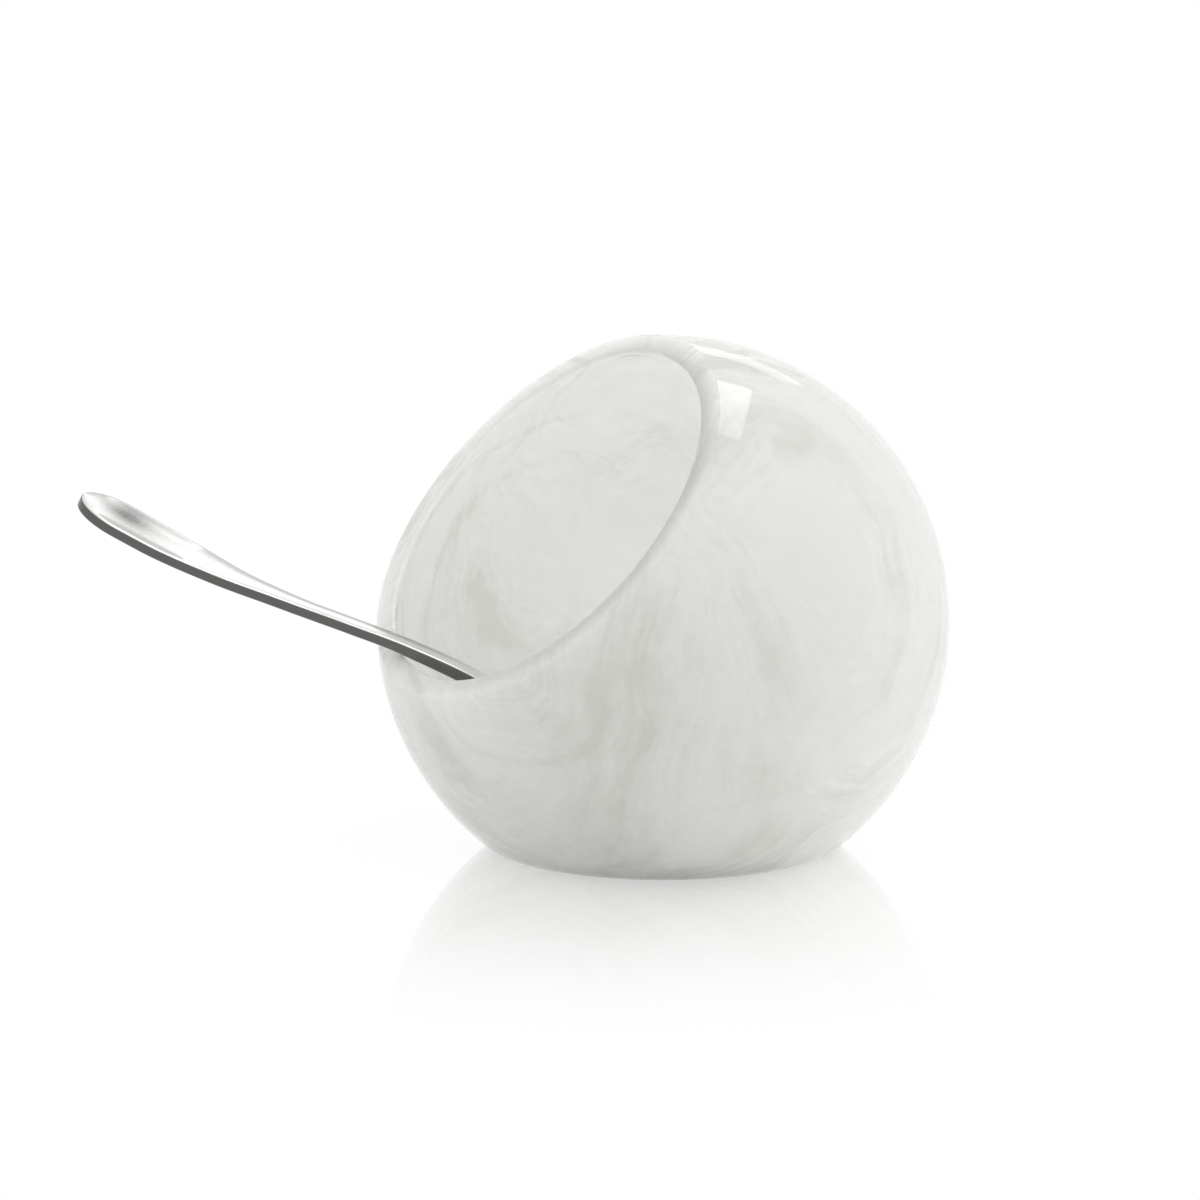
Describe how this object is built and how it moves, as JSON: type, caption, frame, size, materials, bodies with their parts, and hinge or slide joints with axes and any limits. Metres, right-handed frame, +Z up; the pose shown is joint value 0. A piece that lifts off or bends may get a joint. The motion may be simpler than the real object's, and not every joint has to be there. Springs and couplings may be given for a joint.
{
  "type": "salt cellar",
  "caption": "Ball-shaped marbled resin salt cellar with a flat foot, a slanted round mouth and a loose steel teaspoon leaning in it.",
  "frame": {"origin": "centre of the flat foot, on the table", "axes": "+Z up, -Y the way the slanted mouth faces, +X to the right of the mouth seen from behind it"},
  "size_m": [0.1106, 0.1534, 0.0987],
  "materials": {
    "resin": "polished cast resin, milky white with soft grey marbling, slightly translucent",
    "steel": "satin stainless steel with softly polished edges"
  },
  "bodies": {
    "cellar": {"cellar_ball": "resin"},
    "spoon": {"spoon": "steel"}
  },
  "joints": [
    {"name": "spoon_lift", "type": "slide", "parent": "cellar", "child": "spoon", "axis": [0, -0.4226, 0.9063], "range_m": [0, 0.1]}
  ]
}
